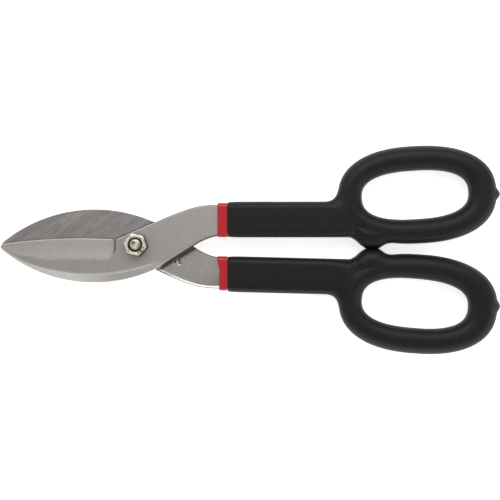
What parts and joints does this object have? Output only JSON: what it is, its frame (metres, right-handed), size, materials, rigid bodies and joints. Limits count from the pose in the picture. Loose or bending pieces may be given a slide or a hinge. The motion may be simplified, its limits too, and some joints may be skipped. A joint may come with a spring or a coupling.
{
  "type": "tin snips",
  "caption": "Straight-pattern tin snips: two forged levers crossing at a bolted pivot, with dipped grips round their shanks and closed finger loops.",
  "frame": {"origin": "on the pivot axis, in the plane of the bolt head's face and the undersides of the grips, which the tool rests on", "axes": "+X from the pivot towards the handles, +Y towards the front lever's handle, +Z out of the nut"},
  "size_m": [0.3059, 0.128, 0.0193],
  "materials": {
    "forged_steel": "ground and sandblasted",
    "plated_steel": "bright plated",
    "black_vinyl": "satin",
    "red_vinyl": "glossy"
  },
  "bodies": {
    "front_lever": {"front_blade": "forged_steel", "front_collar": "red_vinyl", "front_grip": "black_vinyl"},
    "rear_lever": {"rear_blade": "forged_steel", "rear_collar": "red_vinyl", "rear_grip": "black_vinyl", "pivot_bolt": "plated_steel", "pivot_nut": "plated_steel"}
  },
  "joints": [
    {"name": "pivot", "type": "hinge", "parent": "front_lever", "child": "rear_lever", "pos_m": [0, 0, 0], "axis": [0, 0, -1], "range_deg": [0, 45]}
  ]
}
